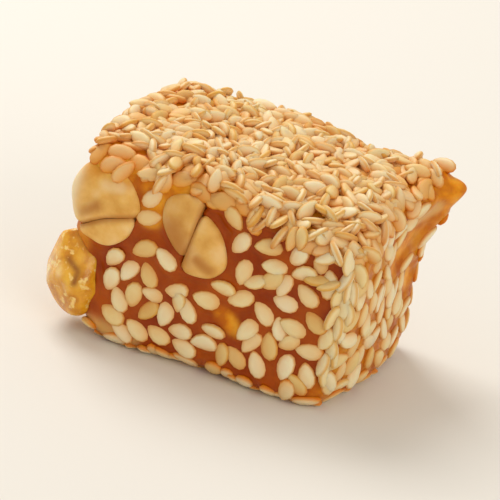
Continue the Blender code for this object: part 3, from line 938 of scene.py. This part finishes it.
def joined_seeds(seeds):
    """All seeds as one set of arrays: the form is bent, sized, turned by its axes and moved.

    With them come each point's share of toasting, of the rim and of syrup soaking in with painted
    golden shade.
    """
    form, faces, share = seed_form()
    draw = np.random.default_rng(SHAPE_DRAW)
    middle, axes, size, here, normal = (np.array([seed[i] for seed in seeds]) for i in range(5))
    local = np.repeat(form[None], len(seeds), axis=0)
    local[:, :, 2] += draw.normal(0, BENT_UP, (len(seeds), 1)) * form[:, 0] ** 2
    local[:, :, 1] += draw.normal(0, BENT_ASIDE, (len(seeds), 1)) * form[:, 0] ** 2
    points = middle[:, None] + np.einsum("snk,skj->snj", local * size[:, None], axes)
    height = np.einsum("snj,sj->sn", points - here[:, None], normal)
    # Soaked-in syrup and painted golden shade, darkest at the candy and reaching higher on top.
    soaked_and_shaded = np.clip(1 - (height - SOAKED_AND_SHADED_FROM) / by_facing(SOAKED_AND_SHADED_TO, normal)[:, None], 0, 1)
    toast = np.repeat(draw.beta(*TOASTED, len(seeds))[:, None], len(form), axis=1)
    rim = np.tile(np.clip((share - RIM_START) / RIM_SPAN, 0, 1), len(seeds))
    starts = range(0, points.size // 3, len(form))
    joined = [[n + start for n in face] for start in starts for face in faces]
    return points.reshape(-1, 3), joined, {"toast": toast, "rim": rim, "soaked_and_shaded": soaked_and_shaded}


def sesame_colour(material):
    """Ivory to toasted gold, tan towards the rim, amber where syrup soaks in and painted golden
    shade darkens the crevices between seeds.
    """
    stops = ((0.0, "#EFDFB8"), (0.5, "#EACF92"), (1.0, "#D6A040"))
    middle = add_ramp(material, attribute(material, "toast"), stops)
    most_rimmed = {0: attribute(material, "rim"), 1: 0.7}
    share = add_node(material, "ShaderNodeMath", {"operation": "MULTIPLY"}, most_rimmed)
    rimmed = mixed(material, share.outputs[0], middle, linear("#D6961E"))
    return mixed(material, attribute(material, "soaked_and_shaded"), rimmed, linear("#F6AE22"), "MULTIPLY")


# Hulled sesame: a waxy seed that lets some light in, IOR about 1.47.
hulled_sesame = new_material(
    "hulled_sesame",
    sesame_colour,
    roughness=0.48,
    ior=1.47,
    specular=0.3,
    subsurface=0.25,
    radius=(1.0, 0.75, 0.35),
    scale=0.6 * MM,
    grain=(1500.0, 2.0, 0.03 * MM),
)
coat = seed_coat(SEEDS_IN_COAT)
placed = placed_seeds()
coat = coat[:SEEDS_MODELLED] + not_crowded(coat[SEEDS_MODELLED:], placed) + placed
loose = not_crowded(loose_seeds(LOOSE_SEEDS), placed)
points, faces, fields = joined_seeds(coat + loose)
# The board stops the seeds underneath.
points[:, 2] = np.maximum(points[:, 2], 0)
sesame = add_piece("sesame_coat", points, faces, hulled_sesame, has_seams=False)
for name, values in fields.items():
    add_attribute(sesame, name, values)
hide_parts("nougat_block")

# The candy climbs the edge of each seed by exp(-(distance past the outline / reach) squared), less
# if the seed's middle plane is far off. Between the seeds it sinks a little.
WETTING_REACH = 0.4 * MM
NEAR_SEED = 3 * MM
SINKING = 0.1 * MM
OVER_BOARD = 0.02 * MM
for middle, axes, size, here, normal in coat:
    near = np.flatnonzero(((skin - middle) ** 2).sum(axis=1) < NEAR_SEED**2)
    local = (skin[near] - middle) @ axes.T
    outline = np.sqrt(((local[:, :2] / (size[:2] / 2)) ** 2).sum(axis=1))
    past = np.maximum(outline - 1, 0) * size[1] / 2
    off = np.maximum(np.abs(local[:, 2]) - size[2], 0)
    rise[near] = np.maximum(rise[near], np.exp(-((past / WETTING_REACH) ** 2) - (off / MM) ** 2))
skin += out_of_skin * (WETTING * rise - SINKING * (1 - rise))[:, None]
skin[:, 2] = np.maximum(skin[:, 2], OVER_BOARD)
candy.data.vertices.foreach_set("co", skin.ravel())
candy.data.update()


# The studio: a pale floor and world, a soft light from behind and above on the left, a weaker
# one from the front right, and a camera at the height and side that the sweet is seen from,
# turned a little about its view.

FLOOR_SIZE = 3.0
floor_mesh = bpy.data.meshes.new("floor")
corners = [(-FLOOR_SIZE, -FLOOR_SIZE, 0), (FLOOR_SIZE, -FLOOR_SIZE, 0)]
corners += [(FLOOR_SIZE, FLOOR_SIZE, 0), (-FLOOR_SIZE, FLOOR_SIZE, 0)]
floor_mesh.from_pydata(corners, [], [(0, 1, 2, 3)])
floor = bpy.data.objects.new("floor", floor_mesh)
bpy.context.scene.collection.objects.link(floor)
floor_paint = bpy.data.materials.new("pale_matt_board")
floor_paint.use_nodes = True
paint = floor_paint.node_tree.nodes["Principled BSDF"]
paint.inputs["Base Color"].default_value = linear("#E4DFD6")
paint.inputs["Roughness"].default_value = 0.7
floor_mesh.materials.append(floor_paint)

world = bpy.data.worlds.new("studio")
bpy.context.scene.world = world
world.use_nodes = True
world.node_tree.nodes["Background"].inputs["Color"].default_value = linear("#F8F3EA")
world.node_tree.nodes["Background"].inputs["Strength"].default_value = 0.69

MIDDLE_OF_SWEET = Vector((0, 0, 0.01))


def add_softbox(name, direction, distance, size, power):
    """A square light that hangs in a direction from the sweet and faces it: metres and watts."""
    light = bpy.data.lights.new(name, "AREA")
    light.shape = "SQUARE"
    light.size = size
    light.energy = power
    lamp = bpy.data.objects.new(name, light)
    bpy.context.scene.collection.objects.link(lamp)
    away = Vector(direction).normalized()
    lamp.location = away * distance + MIDDLE_OF_SWEET
    lamp.rotation_mode = "QUATERNION"
    lamp.rotation_quaternion = away.to_track_quat("Z", "Y")


add_softbox("key_softbox", (-0.7, 0.4, 1.0), distance=0.45, size=0.25, power=1.35)
add_softbox("fill_softbox", (1.1, -0.75, 0.7), distance=0.6, size=0.40, power=0.82)

# In degrees: where the camera stands and its roll. Then how wide its view is at the sweet.
AZIMUTH, ELEVATION, ROLL_IN_VIEW = 20.0, 24.0, 10.5
SPAN = 52 * MM
camera = bpy.data.cameras.new("camera")
camera.lens = 300
camera.clip_start = 0.01
camera_object = bpy.data.objects.new("camera", camera)
bpy.context.scene.collection.objects.link(camera_object)
bpy.context.scene.camera = camera_object
swing, climb = math.radians(AZIMUTH), math.radians(ELEVATION)
back = Vector(
    (math.sin(swing) * math.cos(climb), -math.cos(swing) * math.cos(climb), math.sin(climb))
)
target = Vector((0.0002, -0.0002, 0.0103))
camera_object.rotation_mode = "QUATERNION"
roll = Matrix.Rotation(math.radians(ROLL_IN_VIEW), 3, "Z").to_quaternion()
camera_object.rotation_quaternion = back.to_track_quat("Z", "Y") @ roll
camera_object.location = target + back * (SPAN * camera.lens / camera.sensor_width)
bpy.context.scene.view_settings.view_transform = "Standard"
